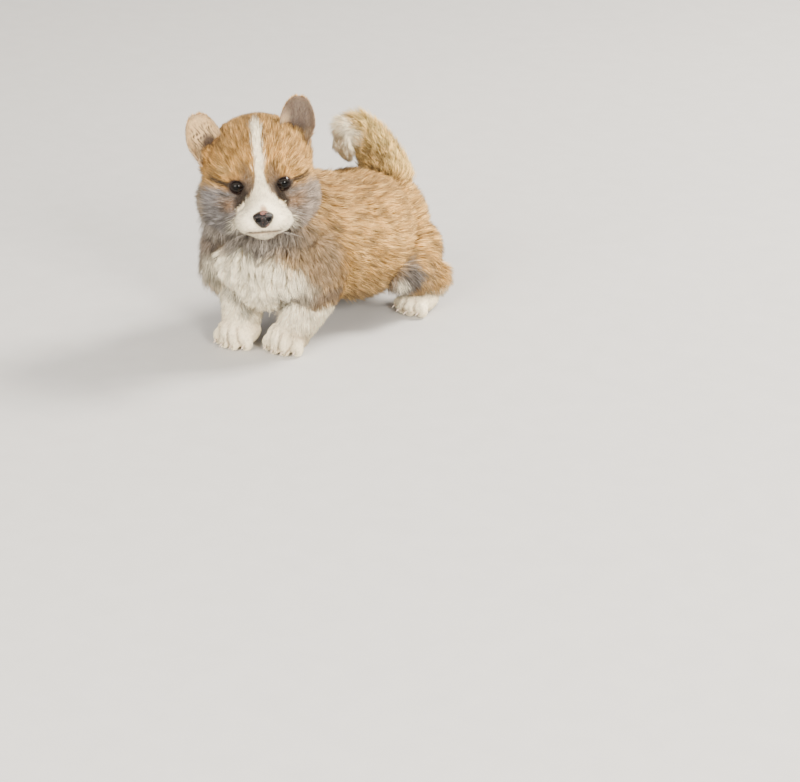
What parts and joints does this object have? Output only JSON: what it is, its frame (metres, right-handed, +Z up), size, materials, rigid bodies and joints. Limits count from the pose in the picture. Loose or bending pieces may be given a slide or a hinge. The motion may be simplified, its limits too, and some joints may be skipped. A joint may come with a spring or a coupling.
{
  "type": "pembroke welsh corgi puppy figure",
  "caption": "Life-size still model of a young Pembroke Welsh Corgi, standing on short legs with its head turned, ears up and curled tail over its back.",
  "frame": {"origin": "on the floor, below the middle of the model's outline", "axes": "+Z is up, -Y is the way the body faces, +X is the puppy's left side; the head is turned towards +X"},
  "size_m": [0.1486, 0.2634, 0.2264],
  "materials": {
    "coat_fawn": "soft fawn puppy coat with darker sable tips, matt",
    "coat_white": "soft white puppy coat, matt",
    "coat_ear": "thin short coat over ear skin, matt",
    "nose_leather": "black pebbled nose leather with a moist sheen and a pink fleck",
    "eye": "glossy dark brown eye, nearly black"
  },
  "bodies": {
    "root": {"head": "coat_fawn", "eye_left": "eye", "eye_right": "eye", "nose": "nose_leather", "jaw": "coat_white", "ear_left": "coat_ear", "ear_right": "coat_ear", "torso": "coat_fawn", "neck": "coat_fawn", "foreleg_left": "coat_white", "forepaw_left": "coat_white", "foreleg_right": "coat_white", "forepaw_right": "coat_white", "hindleg_left": "coat_fawn", "hindpaw_left": "coat_white", "hindleg_right": "coat_fawn", "hindpaw_right": "coat_white", "tail_root": "coat_fawn", "tail_curl": "coat_fawn", "tail_tip": "coat_white"}
  },
  "joints": []
}
